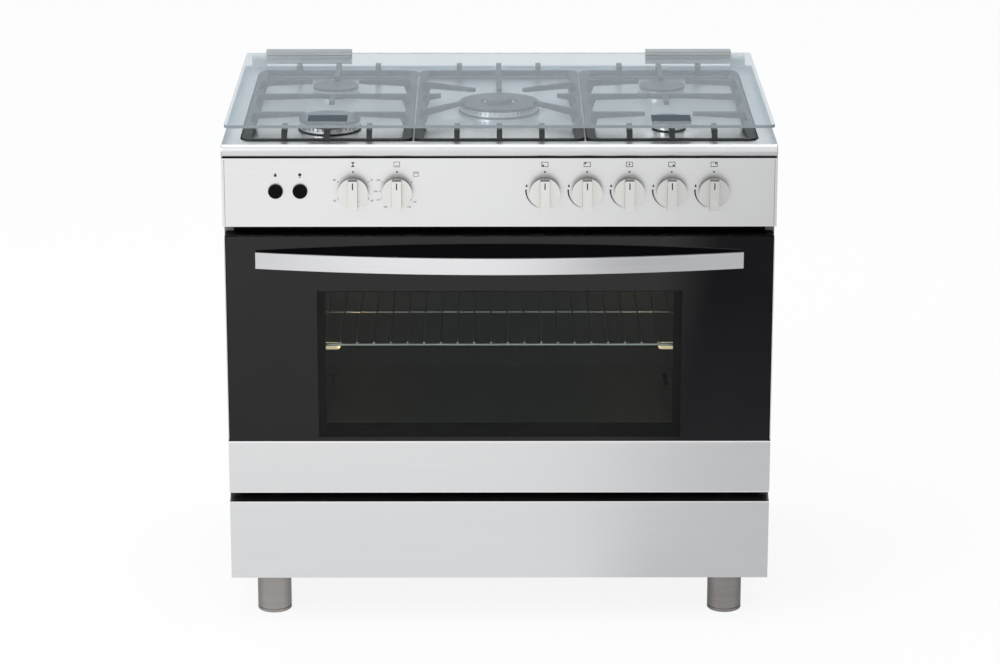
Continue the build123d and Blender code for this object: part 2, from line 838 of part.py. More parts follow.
with BuildPart() as gas_inlet:
    collar_y = back_panel_y - inlet_collar
    thread_y = panel_y[1] + inlet_nut
    thread_end_y = thread_y + inlet_length
    with BuildSketch(Plane.XZ.offset(-panel_y[1])):
        with Locations((inlet_x, knob_z)):
            RegularPolygon(inlet_pipe_radius + inlet_nut, 6)
    extrude(amount=-inlet_nut)
    rod_y(inlet_x, (collar_y, thread_y), knob_z, inlet_pipe_radius)
    rod_y(inlet_x, (thread_y, thread_end_y), knob_z, inlet_radius)
    rod_y(inlet_x, (collar_y, thread_end_y), knob_z, inlet_bore, Mode.SUBTRACT)
keep(gas_inlet, "gas_inlet")


def knob_solid(x):
    """Round knob with a raised grip bar that reaches past the disc at its lower end."""
    disc_front_y = knob_front_y + knob_bar_rise
    rod_y(x, (disc_front_y, knob_back_y), knob_z, knob_radius)
    bar_x = (x - knob_bar_width / 2, x + knob_bar_width / 2)
    bar_z = (knob_z - knob_radius - knob_bar_tail, knob_z + knob_radius - knob_bar_tail)
    block(bar_x, (knob_front_y, knob_back_y - knob_bar_foot), bar_z)


tap_names = ("oven", "front_left", "rear_left", "wok", "front_right", "rear_right")
for name, x in zip(tap_names, tap_places):
    with BuildPart() as tap_plug:
        plug_front_y = tap_front_y + fit_gap
        rod_y(x, (plug_front_y, tap_front_y + plug_length), knob_z, plug_radius)
        rod_y(x, (spindle_front_y, plug_front_y), knob_z, spindle_radius)
        flat_x = (x - spindle_radius, x + spindle_radius)
        flat_z = (knob_z + spindle_flat, knob_z + spindle_radius)
        block(flat_x, (spindle_front_y, knob_back_y), flat_z, Mode.SUBTRACT)
    keep(tap_plug, f"tap_plug_{name}")

    with BuildPart() as knob:
        knob_solid(x)
        bore_end_y = spindle_front_y - knob_stroke - knob_clearance
        rod_y(x, (bore_end_y, knob_back_y), knob_z, spindle_radius + pin_gap, Mode.SUBTRACT)
    keep(knob, f"knob_{name}")

with BuildPart() as timer_body:
    timer_x = (timer_knob_x - timer_size / 2, timer_knob_x + timer_size / 2)
    block(timer_x, (tap_front_y, tap_back_y), (knob_z - timer_size / 2, knob_z + timer_size / 2))
    shaft_end_y = tap_front_y + plug_length
    rod_y(timer_knob_x, nose_y, knob_z, tap_nose_radius)
    bore_y = (nose_y[0], shaft_end_y + side_gap)
    rod_y(timer_knob_x, bore_y, knob_z, spindle_radius + pin_gap, Mode.SUBTRACT)
keep(timer_body, "timer_body")

with BuildPart() as knob_timer:
    knob_solid(timer_knob_x)
    rod_y(timer_knob_x, (knob_back_y, shaft_end_y), knob_z, spindle_radius)
keep(knob_timer, "knob_timer")

# Hob

tray_width = body_width - 2 * hob_side_rim
grate_width = (tray_width - 2 * grate_side_gap - 2 * grate_gap) / 3
side_burner_x = grate_width + grate_gap
front_burner_y = front_y + front_burner_back
rear_burner_y = front_y + rear_burner_back
wok_y = front_y + wok_back
burners = {
    "front_left": (-side_burner_x, front_burner_y, rapid_radius),
    "rear_left": (-side_burner_x, rear_burner_y, semi_radius),
    "wok": (0, wok_y, wok_radius),
    "front_right": (side_burner_x, front_burner_y, small_radius),
    "rear_right": (side_burner_x, rear_burner_y, semi_radius),
}
tray_depth = body_depth - hob_front_rim - hob_rear_strip
tray_middle_y = (front_y + hob_front_rim + back_y - hob_rear_strip) / 2
burner_seat = hob_floor + mound_height
cup_top = burner_seat - hob_sheet
head_top = burner_seat + head_height


def hub_radius(radius):
    """Throat of a burner, which passes through the hob into the cup."""
    return radius * hub_share


def spark_place(x, y, radius):
    """Centre of the spark plug beside a burner, behind it and towards the middle of the hob."""
    away = radius + spark_gap + spark_radius
    side = -1 if x > 0 else 1
    return (x + side * away * math.cos(math.pi / 4), y + away * math.sin(math.pi / 4))


with BuildPart() as hob_top:
    block((-half_width, half_width), (front_y, back_y), (hob_bottom, hob_top_z))
    front_edges = hob_top.edges().filter_by(Axis.X).group_by(Axis.Y)[0].sort_by(Axis.Z)
    fillet(front_edges[-1], nose_radius)
    fillet(hob_top.edges().filter_by(Axis.X).group_by(Axis.Z)[0].sort_by(Axis.Y)[0], nose_under_radius)
    end_edges = hob_top.faces().sort_by(Axis.X)[0].edges() + hob_top.faces().sort_by(Axis.X)[-1].edges()
    fillet(end_edges, hob_edge)
    inside = half_width - hob_sheet
    hollow_y = (front_y + hob_nose, back_y - hob_sheet)
    block((-inside, inside), hollow_y, (hob_bottom, hob_top_z - hob_sheet), Mode.SUBTRACT)
    tray_steps = ((hob_sheet, hob_top_z - hob_sheet, Mode.ADD), (0, hob_top_z, Mode.SUBTRACT))
    for grow, level, mode in tray_steps:
        with BuildSketch(Plane.XY.offset(level)):
            with Locations((0, tray_middle_y)):
                RectangleRounded(tray_width + 2 * grow, tray_depth + 2 * grow, tray_corner + grow)
        extrude(amount=-hob_recess, taper=tray_slope, mode=mode)
    for x, y, radius in burners.values():
        for level, mode in ((hob_floor, Mode.ADD), (hob_floor - hob_sheet, Mode.SUBTRACT)):
            with Locations((x, y, level)):
                Cone(radius + mound_spread, radius + mound_flat, mound_height, align=on_base, mode=mode)
        with Locations((x, y, cup_top)):
            Cylinder(hub_radius(radius) + fit_gap, hob_sheet, align=on_base, mode=Mode.SUBTRACT)
        spark_x, spark_y = spark_place(x, y, radius)
        with Locations((spark_x, spark_y, cup_top)):
            Cylinder(spark_radius + pin_gap, hob_sheet, align=on_base, mode=Mode.SUBTRACT)
    with BuildSketch(Plane.XY.offset(hob_top_z)):
        with Locations((0, back_y - vent_inset)):
            with GridLocations(vent_pitch, 1, vent_count, 1):
                SlotOverall(vent_length, vent_width)
    extrude(amount=-hob_sheet, mode=Mode.SUBTRACT)
    seam_x = (tray_width - tray_corner) / 2
    seam_ys = (front_y + hob_front_rim + tray_corner / 2, back_y - hob_rear_strip - tray_corner / 2)
    for y in seam_ys:
        seam = (y - weld_seam / 2, y + weld_seam / 2)
        block((-half_width, half_width), seam, (hob_bottom, hob_top_z), Mode.SUBTRACT)
    for x in (-seam_x, seam_x):
        seam = (x - weld_seam / 2, x + weld_seam / 2)
        block(seam, seam_ys, (hob_bottom, hob_top_z), Mode.SUBTRACT)
keep(hob_top, "hob_top")

# Burners

with BuildPart() as burner_cups:
    for x, y, radius in burners.values():
        with Locations((x, y, cup_top - cup_depth)):
            Cylinder(hub_radius(radius) + cup_wall, cup_depth, align=on_base)
        with Locations((x, y, cup_top - cup_depth + cup_wall)):
            Cylinder(hub_radius(radius) + fit_gap, cup_depth - cup_wall, align=on_base, mode=Mode.SUBTRACT)
keep(burner_cups, "burner_cups")


def flame_ports(x, y, radius, count):
    """Slots round the rim of a burner head, just under its cap."""
    with Locations((x, y, head_top - port_height)):
        with PolarLocations(radius, count):
            Box(2 * port_depth, port_width, port_height, align=on_base, mode=Mode.SUBTRACT)


with BuildPart() as burner_heads:
    for name, (x, y, radius) in burners.items():
        with Locations((x, y, burner_seat)):
            Cylinder(radius, head_height, align=on_base)
        with Locations((x, y, burner_seat - hub_depth)):
            Cylinder(hub_radius(radius), hub_depth, align=on_base)
        if name == "wok":
            web_top = burner_seat + wok_web
            ring((x, y), wok_ring_inner, wok_hub_radius, web_top, head_top - web_top, Mode.SUBTRACT)
            flame_ports(x, y, wok_hub_radius, wok_hub_ports)
            with Locations((x, y, head_top)):
                Cylinder(wok_hub_radius, wok_hub_rise, align=on_base)
        flame_ports(x, y, radius, round(2 * math.pi * radius / port_pitch))
keep(burner_heads, "burner_heads")

with BuildPart() as burner_caps:
    for name, (x, y, radius) in burners.items():
        if name == "wok":
            ring((x, y), radius + cap_lip, wok_ring_inner - cap_lip, head_top, cap_height)
            with Locations((x, y, head_top + wok_hub_rise)):
                Cylinder(wok_hub_cap, cap_height, align=on_base)
        else:
            with Locations((x, y, head_top)):
                Cylinder(radius + cap_lip, cap_height, align=on_base)
    levels = burner_caps.edges().group_by(Axis.Z)
    fillet(levels[-1] + levels[-2], cap_round)
keep(burner_caps, "burner_caps")

with BuildPart() as spark_plugs:
    for x, y, radius in burners.values():
        spark_x, spark_y = spark_place(x, y, radius)
        with Locations((spark_x, spark_y, cup_top - spark_tail)):
            Cylinder(spark_radius, head_top - spark_drop - cup_top + spark_tail, align=on_base)
            Cylinder(spark_tip, head_top - cup_top + spark_tail, align=on_base)
keep(spark_plugs, "spark_plugs")

with BuildPart() as feed_pipes:
    cup_bottom = cup_top - cup_depth
    pipe_level = (tap_top + cup_bottom) / 2
    pipe_bend = (cup_bottom - tap_top) * pipe_bend_share
    for x, name in zip(burner_knobs, tap_names[1:]):
        burner_x, burner_y, _ = burners[name]
        stops = [(x, outlet_y, tap_top), (x, outlet_y, pipe_level)]
        stops += [(burner_x, burner_y, pipe_level), (burner_x, burner_y, cup_bottom)]
        bent_tube(stops, pipe_radius, pipe_bend)
    roof_level = (tap_foot + oven_top) / 2
    rear_y = feed_end_y + oven_pipe_bend * 2
    stops = [(feed_x, outlet_y, tap_foot), (feed_x, outlet_y, roof_level)]
    stops += [(feed_x, rear_y, roof_level), (feed_x, rear_y, oven_burner_z)]
    stops += [(feed_x, feed_end_y, oven_burner_z)]
    bent_tube(stops, pipe_radius, oven_pipe_bend)
    rod_y(feed_x, (feed_end_y, rear_y), grill_z, pipe_radius)
keep(feed_pipes, "feed_pipes")

# Pan supports

grate_low = hob_floor + grate_feet
grate_bar_top = grate_low + grate_bar_height
grate_front_y = front_y + hob_front_rim + grate_margin
grate_rear_y = back_y - hob_rear_strip - grate_margin
grate_middle_y = (grate_front_y + grate_rear_y) / 2


def finger(start, end):
    """Slim blade that leaves a frame bar, climbs to the cooking level and runs on, thinner, to its tip."""
    run = Vector(end[0] - start[0], end[1] - start[1], 0)
    reach = run.length
    side_on = Plane(origin=(start[0], start[1], 0), x_dir=run, z_dir=Vector(run.Y, -run.X, 0))
    outline = [
        (0, grate_low),
        (0, grate_bar_top),
        (finger_climb, grate_top),
        (reach, grate_top),
        (reach, grate_top - finger_tip),
        (finger_climb + finger_root, grate_top - finger_depth),
        (finger_root, grate_low),
    ]
    profile_bar(side_on, outline, prong / 2, both_ways=True)


def grate_frame(centre_x):
    """Low outer frame on four feet, with the posts that stand on its front and rear bars."""
    depth = grate_rear_y - grate_front_y
    with BuildSketch(Plane.XY.offset(grate_low)) as frame:
        with Locations((centre_x, grate_middle_y)):
            RectangleRounded(grate_width, depth, grate_corner)
            inner_width = grate_width - 2 * grate_bar
            RectangleRounded(inner_width, depth - 2 * grate_thin_bar, grate_corner / 2, mode=Mode.SUBTRACT)
    extrude(frame.sketch, amount=grate_bar_height)
    foot_x = grate_width / 2 - grate_bar / 2
    foot_y = depth / 2 - grate_corner
    with Locations((centre_x, grate_middle_y, hob_floor)):
        with GridLocations(2 * foot_x, 2 * foot_y, 2, 2):
            Cylinder(grate_foot_radius, grate_feet, align=on_base)
    for offset in (-prong_spread, 0, prong_spread):
        x = centre_x + offset
        for bar_y, inward in ((grate_front_y, 1), (grate_rear_y, -1)):
            finger((x, bar_y), (x, bar_y + inward * prong_reach))


def divide_grate(centre_x, cross_seams):
    """Fine seams that part a pan support's side bars from its fingers, and its long fingers from their roots."""
    levels = (hob_floor, grate_top)
    for side in (-1, 1):
        x = centre_x + side * (grate_width / 2 - grate_bar)
        seam = (x - weld_seam / 2, x + weld_seam / 2)
        block(seam, (grate_front_y, grate_rear_y), levels, Mode.SUBTRACT)
    for y in cross_seams:
        block((centre_x - prong / 2, centre_x + prong / 2), (y - weld_seam, y), levels, Mode.SUBTRACT)


bar_inset = (grate_width - grate_bar) / 2
for name, centre_x in (("left", -side_burner_x), ("right", side_burner_x)):
    with BuildPart() as pan_support:
        grate_frame(centre_x)
        for side in (-1, 1):
            bar_x = centre_x + side * bar_inset
            for y in (front_burner_y, rear_burner_y):
                finger((bar_x, y), (centre_x + side * finger_end, y))
            finger((bar_x, grate_middle_y), (centre_x, grate_middle_y))
        spur_end = grate_middle_y - spur_reach
        with Locations((centre_x, (grate_middle_y + spur_end) / 2, grate_top - finger_tip / 2)):
            Box(prong, spur_reach, finger_tip)
        rear_tip = (centre_x, rear_burner_y + rear_finger_gap)
        finger((centre_x, grate_rear_y), rear_tip)
        divide_grate(centre_x, (grate_middle_y - prong / 2, grate_rear_y - prong_reach))
    keep(pan_support, f"pan_support_{name}")

with BuildPart() as pan_support_centre:
    grate_frame(0)
    for side in (-1, 1):
        tip_x, tip_back = wok_front_tip
        finger((side * bar_inset, wok_y - wok_front_root), (side * tip_x, wok_y - tip_back))
        tip_x, tip_back = wok_rear_tip
        finger((side * bar_inset, wok_y + wok_rear_root), (side * tip_x, wok_y + tip_back))
        side_root = (side * bar_inset, grate_middle_y)
        finger(side_root, (side * wok_side_tip, grate_middle_y))
    finger((0, grate_rear_y), (0, wok_y + wok_rear_tip[1]))
    divide_grate(0, (grate_rear_y - prong_reach,))
keep(pan_support_centre, "pan_support_centre")

# Glass lid

clamp_outer_x = half_width - clamp_inset
clamp_back_y = lid_axis_y + clamp_rear
clamp_front_y = lid_axis_y - clamp_front
lid_rear_y = clamp_back_y - clamp_wall
clamp_inner_x = clamp_outer_x - clamp_length
pin_reach = clamp_outer_x - lid_pin_length

with BuildPart() as lid_glass:
    lid_half = half_width - lid_side_inset
    block((-lid_half, lid_half), (front_y + lid_front_back, lid_rear_y), (lid_bottom, lid_top))
    fillet(lid_glass.edges().filter_by(Axis.Z).group_by(Axis.Y)[0], lid_corner)
keep(lid_glass, "lid_glass")

with BuildPart() as lid_clamps:
    for x in both(clamp_inner_x, clamp_outer_x):
        block(x, (clamp_front_y, clamp_back_y), (lid_axis_z - clamp_drop, lid_axis_z + clamp_rise))
        block(x, (clamp_front_y, lid_rear_y), (lid_bottom, lid_top), Mode.SUBTRACT)
        for level in (lid_axis_z, lid_top + clamp_groove_rise):
            groove_z = (level - clamp_groove / 2, level + clamp_groove / 2)
            block(x, (clamp_front_y, clamp_front_y + clamp_groove), groove_z, Mode.SUBTRACT)
    for x in both(pin_reach - side_gap, clamp_outer_x):
        rod_x(x, lid_axis_y, lid_axis_z, lid_pin_radius + pin_gap, Mode.SUBTRACT)
keep(lid_clamps, "lid_clamps")

with BuildPart() as lid_hinge_blocks:
    block_inner_x = clamp_outer_x + fit_gap
    block_outer_x = block_inner_x + hinge_block_width
    knuckle_y = (lid_axis_y - knuckle_radius, lid_axis_y + knuckle_radius)
    for x in both(block_inner_x, block_outer_x):
        rod_x(x, lid_axis_y, lid_axis_z, knuckle_radius)
        block(x, knuckle_y, (hob_top_z, lid_axis_z))
    for x in both(pin_reach, block_inner_x):
        rod_x(x, lid_axis_y, lid_axis_z, lid_pin_radius)
keep(lid_hinge_blocks, "lid_hinge_blocks")

with BuildPart() as lid_pads:
    pad_y = (front_y + pad_back, front_y + pad_back + pad_depth)
    for x in both(side_burner_x - pad_width / 2, side_burner_x + pad_width / 2):
        block(x, pad_y, (grate_top + fit_gap, lid_bottom))
keep(lid_pads, "lid_pads")
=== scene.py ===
"""Looks of the free-standing gas cooker, built round its CAD frame. Metres; -Y faces the cook."""

import math

import bmesh
import bpy
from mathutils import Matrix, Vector


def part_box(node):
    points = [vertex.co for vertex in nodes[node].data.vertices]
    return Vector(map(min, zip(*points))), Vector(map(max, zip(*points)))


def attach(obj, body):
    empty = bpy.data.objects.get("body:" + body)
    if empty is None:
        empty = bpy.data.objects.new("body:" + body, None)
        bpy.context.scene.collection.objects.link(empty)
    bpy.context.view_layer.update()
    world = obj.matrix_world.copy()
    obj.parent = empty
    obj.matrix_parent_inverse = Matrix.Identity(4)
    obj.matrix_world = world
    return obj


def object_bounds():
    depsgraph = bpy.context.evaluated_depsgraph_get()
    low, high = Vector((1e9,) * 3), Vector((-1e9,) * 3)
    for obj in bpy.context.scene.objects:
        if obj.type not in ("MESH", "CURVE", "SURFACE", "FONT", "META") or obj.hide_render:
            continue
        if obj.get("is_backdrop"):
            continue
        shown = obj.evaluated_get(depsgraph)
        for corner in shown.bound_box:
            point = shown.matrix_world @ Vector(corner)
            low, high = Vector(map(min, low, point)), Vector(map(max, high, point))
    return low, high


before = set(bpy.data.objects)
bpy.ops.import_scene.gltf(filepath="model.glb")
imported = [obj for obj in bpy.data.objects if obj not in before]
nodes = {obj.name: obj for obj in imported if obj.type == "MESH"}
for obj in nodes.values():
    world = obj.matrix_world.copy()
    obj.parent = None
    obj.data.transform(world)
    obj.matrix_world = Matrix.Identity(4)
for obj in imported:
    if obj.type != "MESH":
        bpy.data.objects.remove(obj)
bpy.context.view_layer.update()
scene = bpy.context.scene

# Real sizes are written in millimetres
MM = 0.001
# How far print, thin skins and the door's glossy skin lie off the sheet or glass that carries them
PRINT_LIFT = 0.12 * MM
SKIN_LIFT = 0.1 * MM
GLASS_LIFT = 0.15 * MM
# Print round the knobs is measured from a level this far above the middle of a knob's box
KNOB_RISE = 2.5 * MM
knob_low, knob_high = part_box("knob_oven")
KNOB_Z = (knob_low.z + knob_high.z) / 2 + KNOB_RISE
PRINT_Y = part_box("control_panel")[0].y - PRINT_LIFT
# A face is a front or a back where its normal's share along Y is over the first, and a side, which takes the
# painted side shade, under the second
FACING, ASIDE = 0.85, 0.3
# Sockets of a Mix node that blends colours: its share, its two colours and its result
SHARE, START, END, MIXED = 0, 6, 7, 2


def linear(code):
    """Linear RGBA of an sRGB hex colour."""
    parts = [int(code[i:i + 2], 16) / 255 for i in (1, 3, 5)]
    return [v / 12.92 if v <= 0.04045 else ((v + 0.055) / 1.055) ** 2.4 for v in parts] + [1.0]


def add(tree, kind, values=None):
    """Add one node. A value is a socket to link, a setting, or an input's number or hex colour."""
    node = tree.nodes.new(kind)
    for key, value in (values or {}).items():
        if isinstance(value, bpy.types.NodeSocket):
            tree.links.new(value, node.inputs[key])
        elif isinstance(key, str) and hasattr(node, key):
            setattr(node, key, value)
        elif isinstance(value, str):
            node.inputs[key].default_value = linear(value)
        else:
            node.inputs[key].default_value = value
    return node


def blank(kind, name):
    """Empty node tree of a new material or world."""
    made = kind.new(name)
    made.use_nodes = True
    made.node_tree.nodes.clear()
    return made, made.node_tree


def grain(tree, size):
    """Noise whose patches measure the given millimetres along X, Y and Z, from 0 to 1."""
    place = add(tree, "ShaderNodeTexCoord").outputs["Object"]
    scale = [1 / (side * MM) for side in size]
    scaled = add(tree, "ShaderNodeMapping", {"Scale": scale, "Vector": place}).outputs[0]
    noise = add(tree, "ShaderNodeTexNoise", {"Scale": 1.0, "Detail": 3.0, "Vector": scaled}).outputs[0]
    return add(tree, "ShaderNodeMapRange", {"From Min": 0.3, "From Max": 0.7, "Value": noise}).outputs[0]


def finish(name, colours, rough, size, bump=0.0, sides=None, **fixed):
    """Opaque finish: a grain moves its colour and roughness between two values and lifts it by bump mm.

    Faces that turn aside from the front and the back take the sides colour as painted shade, if one is
    given.
    """
    made, tree = blank(bpy.data.materials, name)
    pattern = grain(tree, size)
    tint = add(tree, "ShaderNodeMix", {
        "data_type": "RGBA", SHARE: pattern, START: colours[0], END: colours[1],
    }).outputs[MIXED]
    # Painted shade: faces that turn aside from the front and back darken towards the sides colour
    if sides:
        normal = add(tree, "ShaderNodeNewGeometry").outputs["Normal"]
        depth = add(tree, "ShaderNodeSeparateXYZ", {0: normal}).outputs[1]
        straight = add(tree, "ShaderNodeMath", {"operation": "ABSOLUTE", 0: depth}).outputs[0]
        aside = add(tree, "ShaderNodeMapRange", {
            "From Min": FACING, "From Max": ASIDE, "Value": straight,
        }).outputs[0]
        tint = add(tree, "ShaderNodeMix", {
            "data_type": "RGBA", SHARE: aside, START: tint, END: sides,
        }).outputs[MIXED]
    gloss = add(tree, "ShaderNodeMapRange", {"To Min": rough[0], "To Max": rough[1], "Value": pattern})
    values = {**fixed, "Base Color": tint, "Roughness": gloss.outputs[0]}
    if bump:
        lifted = add(tree, "ShaderNodeBump", {"Distance": bump * MM, "Height": pattern})
        values["Normal"] = lifted.outputs[0]
    shader = add(tree, "ShaderNodeBsdfPrincipled", values)
    add(tree, "ShaderNodeOutputMaterial", {"Surface": shader.outputs[0]})
    return made


def clear_glass(name, tints, shade, ior):
    """Clear pane whose tint drifts a little across it, and which lets lamp light through."""
    made, tree = blank(bpy.data.materials, name)
    tint = add(tree, "ShaderNodeMix", {
        "data_type": "RGBA", SHARE: grain(tree, (90, 90, 90)), START: tints[0], END: tints[1],
    }).outputs[MIXED]
    pane = add(tree, "ShaderNodeBsdfPrincipled", {
        "Base Color": tint, "Roughness": 0.0, "IOR": ior, "Transmission Weight": 1.0,
    })
    through = add(tree, "ShaderNodeBsdfTransparent", {"Color": shade})
    path = add(tree, "ShaderNodeLightPath")
    mixed = add(tree, "ShaderNodeMixShader", {
        0: path.outputs["Is Shadow Ray"], 1: pane.outputs[0], 2: through.outputs[0],
    })
    add(tree, "ShaderNodeOutputMaterial", {"Surface": mixed.outputs[0]})
    return made


# Finishes of the CAD pieces

# Stainless sheet brushed along its length: faint streaks a millimetre high, coarser than real brushing so
# that they show, soft reflections, and painted shade on the folded returns, which keeps the gaps dark.
steel = finish(
    "brushed_stainless", ("#efefef", "#f3f3f2"), (0.33, 0.36), (160, 160, 0.9), 0.0003, sides="#7c7c7d",
    Metallic=1.0,
)
# Pressed stainless hob, satin: even and pale, with soft wide reflections.
hob_steel = finish("satin_stainless", ("#dededf", "#e3e3e4"), (0.31, 0.34), (60, 60, 60), Metallic=1.0)
# Polished stainless handle bar: smoother than the sheets, so that it shows the floor's bright side.
bar_steel = finish(
    "polished_stainless", ("#ececed", "#f0f0f1"), (0.29, 0.33), (200, 200, 1.5), 0.0004, Metallic=1.0,
)
# Satin-plated knob: a pale even face, with painted shade on its sides, near black, that draws its outline
# and its grip.
knob_plate = finish(
    "satin_plate", ("#e6e6e2", "#ebebe7"), (0.24, 0.27), (30, 30, 30), sides="#20201f", Metallic=0.85,
)
# Turned satin foot: dull warm grey, with painted shade that darkens its flanks so that the middle reads as a
# soft upright highlight.
foot_metal = finish(
    "turned_foot", ("#a8a39f", "#afaaa6"), (0.24, 0.28), (90, 90, 4.0), sides="#6f6b67", Metallic=0.95,
)
# Grey stoved paint on the casing sides: even, with a fine orange-peel skin.
side_paint = finish("grey_stoved_paint", ("#7c7d80", "#818285"), (0.42, 0.48), (2.5, 2.5, 2.5), 0.003)
# Black stoved paint behind the gaps: drinks the light, so that the gaps read as dark lines.
gap_paint = finish(
    "black_stoved_paint", ("#070708", "#0b0b0c"), (0.5, 0.6), (1.6, 1.6, 1.6), 0.004,
    **{"Specular IOR Level": 0.08},
)
# Zinc-coated sheet: broken crystal patches about two centimetres wide.
zinc = finish("zinc_sheet", ("#8d9092", "#a4a7a9"), (0.36, 0.52), (22, 22, 22), 0.003, Metallic=0.85)
# Vitreous enamel in the oven: dark green-grey, smooth and even, with a soft gloss.
enamel = finish("oven_enamel", ("#20282a", "#252d2f"), (0.30, 0.34), (45, 45, 45))
# Matt black enamel on cast iron: a pebbled skin with broad dull highlights.
cast_iron = finish("enamelled_cast_iron", ("#1b1c1e", "#242527"), (0.46, 0.56), (1.1, 1.1, 1.1), 0.008)
# Black enamelled burner caps: smoother than the supports, so that they catch a soft sheen.
cap_enamel = finish("cap_enamel", ("#1c1d1f", "#252628"), (0.34, 0.42), (1.0, 1.0, 1.0), 0.003)
# Cast and turned aluminium burner heads: bright, with a slightly mottled skin.
cast_alu = finish(
    "cast_aluminium", ("#e4e5e6", "#eeefef"), (0.20, 0.28), (1.5, 1.5, 1.5), 0.003, Metallic=1.0,
)
# Anodised aluminium lid clamps: even pale satin grey drawn along their length.
anodised = finish("anodised_aluminium", ("#c6c8c9", "#cfd1d2"), (0.34, 0.40), (120, 120, 2.0), Metallic=0.7)
# Chromed wire: bright lines against the dark oven.
chrome = finish("chromed_wire", ("#b4b4b1", "#c0c0bd"), (0.16, 0.22), (6, 6, 6), Metallic=1.0)
# Turned brass taps: warm yellow with a fine tooled sheen.
brass = finish("turned_brass", ("#a9843c", "#bf9a50"), (0.24, 0.34), (0.8, 20, 0.8), 0.003, Metallic=1.0)
# Dull steel tube of the oven's burners: heat-stained grey.
tube_steel = finish(
    "stained_steel", ("#6c6965", "#85827d"), (0.36, 0.48), (14, 14, 14), 0.004, Metallic=0.9,
)
# Moulded black plastic: satin, with a fine spark-eroded grain.
plastic = finish("black_plastic", ("#0c0c0d", "#151516"), (0.32, 0.42), (0.7, 0.7, 0.7), 0.006)
# Polished black buttons: deep black with a small faint gleam.
button_black = finish(
    "polished_black", ("#050506", "#080809"), (0.2, 0.3), (3, 3, 3), 0.01, **{"Specular IOR Level": 0.08},
)
# Silicone seal and lid pads: dull dark rubber.
rubber = finish("silicone_rubber", ("#2a2b2d", "#333437"), (0.62, 0.74), (1.4, 1.4, 1.4), 0.006)
# Glazed ceramic of the spark plugs: creamy white with a wet shine.
ceramic = finish("glazed_ceramic", ("#dcd6ca", "#e9e4da"), (0.16, 0.24), (1.2, 1.2, 1.2))
# Pointer lines printed on the knobs: flat black.
print_ink = finish(
    "black_print", ("#0b0b0c", "#0f0f10"), (0.5, 0.6), (40, 40, 40), **{"Specular IOR Level": 0.1},
)
# Black screen print behind polished door glass, drawn as one skin: deep black that mirrors the room sharply.
printed_glass = finish("printed_door_glass", ("#0c0b0e", "#0f0e11"), (0.02, 0.04), (60, 60, 60), IOR=1.43)
# Base rings of the burners in black enamel, which also stand in for the shade under the heads: a dark line
# between the bright heads and the hob.
enamel_and_shade_ring = finish("base_ring_enamel_and_shade", ("#0d0d0e", "#141416"), (0.4, 0.5), (1.2, 1.2, 1.2), 0.003)
# Dark print on the control panel: flat, without gloss.
grey_ink = finish(
    "dark_panel_print", ("#262627", "#2f2f30"), (0.5, 0.6), (10, 10, 10), **{"Specular IOR Level": 0.2},
)
# Shaded joint in the panel's steel: a thin grey line.
joint_grey = finish("shaded_joint", ("#77787b", "#7e7f82"), (0.5, 0.6), (20, 20, 20))
# Painted highlights on the rounded folds of the front sheets, where light from above would catch them: thin
# bright lines.
fold_highlight_paint = finish("painted_fold_highlight", ("#fafafa", "#ffffff"), (0.4, 0.5), (40, 40, 40))
# Ground edge of the lid glass: a soft blue-grey line.
ground_edge = finish("ground_glass_edge", ("#8b969c", "#959fa5"), (0.45, 0.55), (10, 10, 10))
# Clear panes: the lid shows the grey room at a slant, the door panes let the oven show dimly.
lid_pane = clear_glass("lid_glass", ("#f0f6f8", "#f3f8fa"), "#e4ecef", 1.5)
outer_pane = clear_glass("door_outer_glass", ("#e2e7e6", "#e5eae9"), "#d0d8d7", 1.2)
inner_pane = clear_glass("door_inner_glass", ("#edf1f0", "#eff3f2"), "#e2e8e7", 1.1)
# Oven lamps: frosted bulbs that glow warm.
glow = finish(
    "lit_frosted_bulb", ("#f3d9a8", "#fbe7c2"), (0.4, 0.5), (4, 4, 4),
    **{"Emission Color": "#f2ddb8", "Emission Strength": 0.7},
)

taps = ("oven", "front_left", "rear_left", "wok", "front_right", "rear_right")
dials = ("timer",) + taps
corners = ("front_left", "front_right", "rear_left", "rear_right")
looks = [
    (steel, ["control_panel", "door_strip", "drawer_front"]),
    (hob_steel, ["hob_top"]),
    (bar_steel, ["door_handle"]),
    (knob_plate, [f"knob_{name}" for name in dials]),
    (foot_metal, [f"leg_{name}" for name in corners]),
    (side_paint, ["side_panels", "drawer_box"]),
    (gap_paint, ["front_frame", "door_frame"]),
    (zinc, ["base_frame", "back_panel", "casing_screws"]),
    (zinc, ["door_hinge_brackets", "door_hinge_arms", "gas_manifold", "feed_pipes"]),
    (enamel, ["oven_liner", "oven_floor_plate"]),
    (cast_iron, ["pan_support_left", "pan_support_centre", "pan_support_right"]),
    (cap_enamel, ["burner_caps"]),
    (cast_alu, ["burner_heads", "burner_cups"]),
    (anodised, ["lid_clamps", "lid_hinge_blocks"]),
    (chrome, ["wire_shelf", "rack_ladders"]),
    (brass, ["gas_taps", "gas_inlet"] + [f"tap_plug_{name}" for name in taps]),
    (tube_steel, ["oven_burner", "grill_burner"]),
    (plastic, ["timer_body", "cable_gland"]),
    (button_black, ["button_ignition", "button_lamp"]),
    (rubber, ["door_seal", "lid_pads"]),
    (ceramic, ["spark_plugs"]),
    (lid_pane, ["lid_glass"]),
    (outer_pane, ["door_outer_glass"]),
    (inner_pane, ["door_inner_glass"]),
    (glow, ["oven_lamps"]),
]
for look, names in looks:
    for name in names:
        nodes[name].data.materials.clear()
        nodes[name].data.materials.append(look)


def carry(name, data, look, body, place=(0, 0, 0), turn=(0, 0, 0)):
    """New piece with one finish, which rides on a body of the part."""
    data.materials.append(look)
    piece = bpy.data.objects.new(name, data)
    piece.location = place
    piece.rotation_euler = turn
    scene.collection.objects.link(piece)
    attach(piece, body)
    return piece


